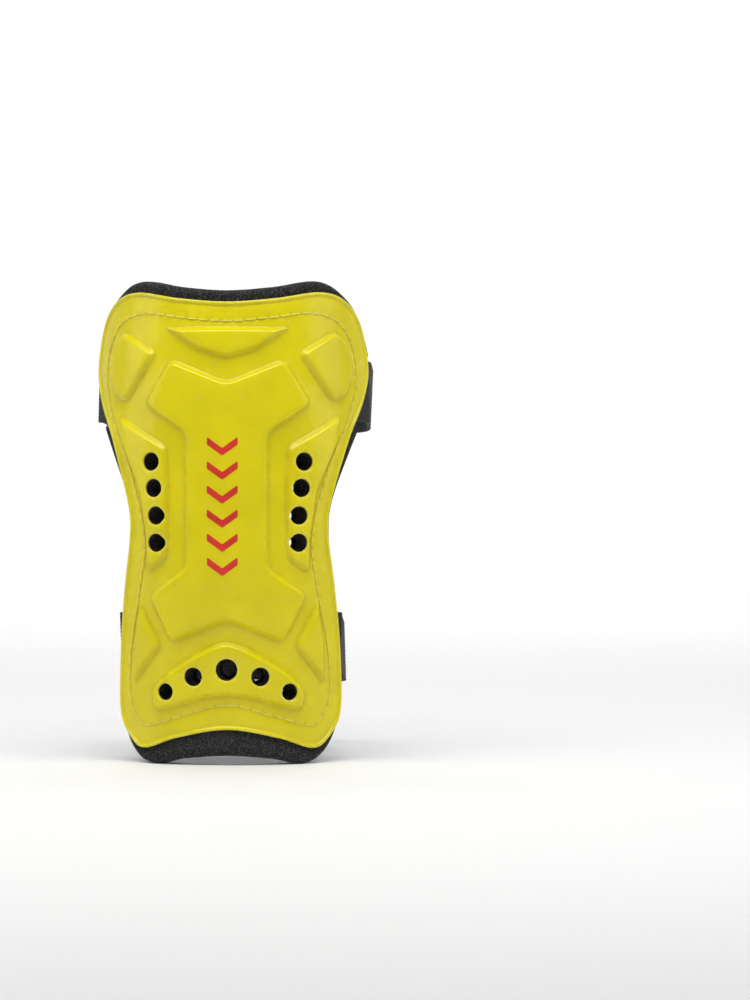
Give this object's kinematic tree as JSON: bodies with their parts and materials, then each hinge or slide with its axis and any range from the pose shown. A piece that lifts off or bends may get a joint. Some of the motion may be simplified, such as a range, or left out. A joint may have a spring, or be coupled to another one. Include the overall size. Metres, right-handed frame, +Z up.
{
  "type": "shin guard",
  "caption": "Moulded shin guard with raised panels, vent holes, a foam pad and elastic straps that close behind the leg with hook-and-loop tape.",
  "frame": {"origin": "on the axis of the leg that the guard is worn on, midway between the two straps", "axes": "+Z up the shin, -Y out of the front of the guard, +X to the right of someone looking at its front"},
  "size_m": [0.1118, 0.1145, 0.1909],
  "materials": {
    "shell_sheet": "glossy moulded sheet",
    "foam": "closed-cell foam, fine grain",
    "lining_knit": "fine knit",
    "yellow_thread": "twisted polyester thread",
    "red_ink": "screen-printed ink",
    "elastic": "ribbed woven elastic",
    "hook_tape": "nylon tape with fine hooks",
    "loop_tape": "nylon tape with soft loops",
    "black_thread": "twisted polyester thread"
  },
  "bodies": {
    "guard": {"hard_shell": "shell_sheet", "foam_pad": "foam", "lining": "lining_knit", "edge_stitching": "yellow_thread", "front_print": "red_ink", "upper_long_strap_end": "elastic", "upper_short_strap_end": "elastic", "lower_long_strap_end": "elastic", "lower_short_strap_end": "elastic"},
    "upper_long": {"upper_long_strap": "elastic", "upper_tab_root": "hook_tape", "upper_tab_stitching": "black_thread"},
    "upper_tab": {"upper_hook_tab": "hook_tape"},
    "upper_short": {"upper_short_strap": "elastic", "upper_loop_patch": "loop_tape", "upper_patch_stitching": "black_thread"},
    "lower_long": {"lower_long_strap": "elastic", "lower_tab_root": "hook_tape", "lower_tab_stitching": "black_thread"},
    "lower_tab": {"lower_hook_tab": "hook_tape"},
    "lower_short": {"lower_short_strap": "elastic", "lower_loop_patch": "loop_tape", "lower_patch_stitching": "black_thread"}
  },
  "joints": [
    {"name": "upper_long_strap_swing", "type": "hinge", "parent": "guard", "child": "upper_long", "pos_m": [-0.05465, -0.02218, 0], "axis": [0, 0, 1], "range_deg": [0, 110]},
    {"name": "upper_tab_peel", "type": "hinge", "parent": "upper_long", "child": "upper_tab", "pos_m": [-0.0095, 0.04926, 0], "axis": [0, 0, 1], "range_deg": [0, 90]},
    {"name": "upper_short_strap_swing", "type": "hinge", "parent": "guard", "child": "upper_short", "pos_m": [0.05465, -0.02218, 0], "axis": [0, 0, -1], "range_deg": [0, 28]},
    {"name": "lower_long_strap_swing", "type": "hinge", "parent": "guard", "child": "lower_long", "pos_m": [-0.04365, -0.03815, 0], "axis": [0, 0, 1], "range_deg": [0, 110]},
    {"name": "lower_tab_peel", "type": "hinge", "parent": "lower_long", "child": "lower_tab", "pos_m": [-0.0095, 0.03926, 0], "axis": [0, 0, 1], "range_deg": [0, 90]},
    {"name": "lower_short_strap_swing", "type": "hinge", "parent": "guard", "child": "lower_short", "pos_m": [0.04365, -0.03815, 0], "axis": [0, 0, -1], "range_deg": [0, 28]}
  ],
  "couplings": [
    {"joint": "upper_short_strap_swing", "follows": "upper_long_strap_swing", "ratio": 0.25},
    {"joint": "lower_short_strap_swing", "follows": "lower_long_strap_swing", "ratio": 0.25}
  ]
}
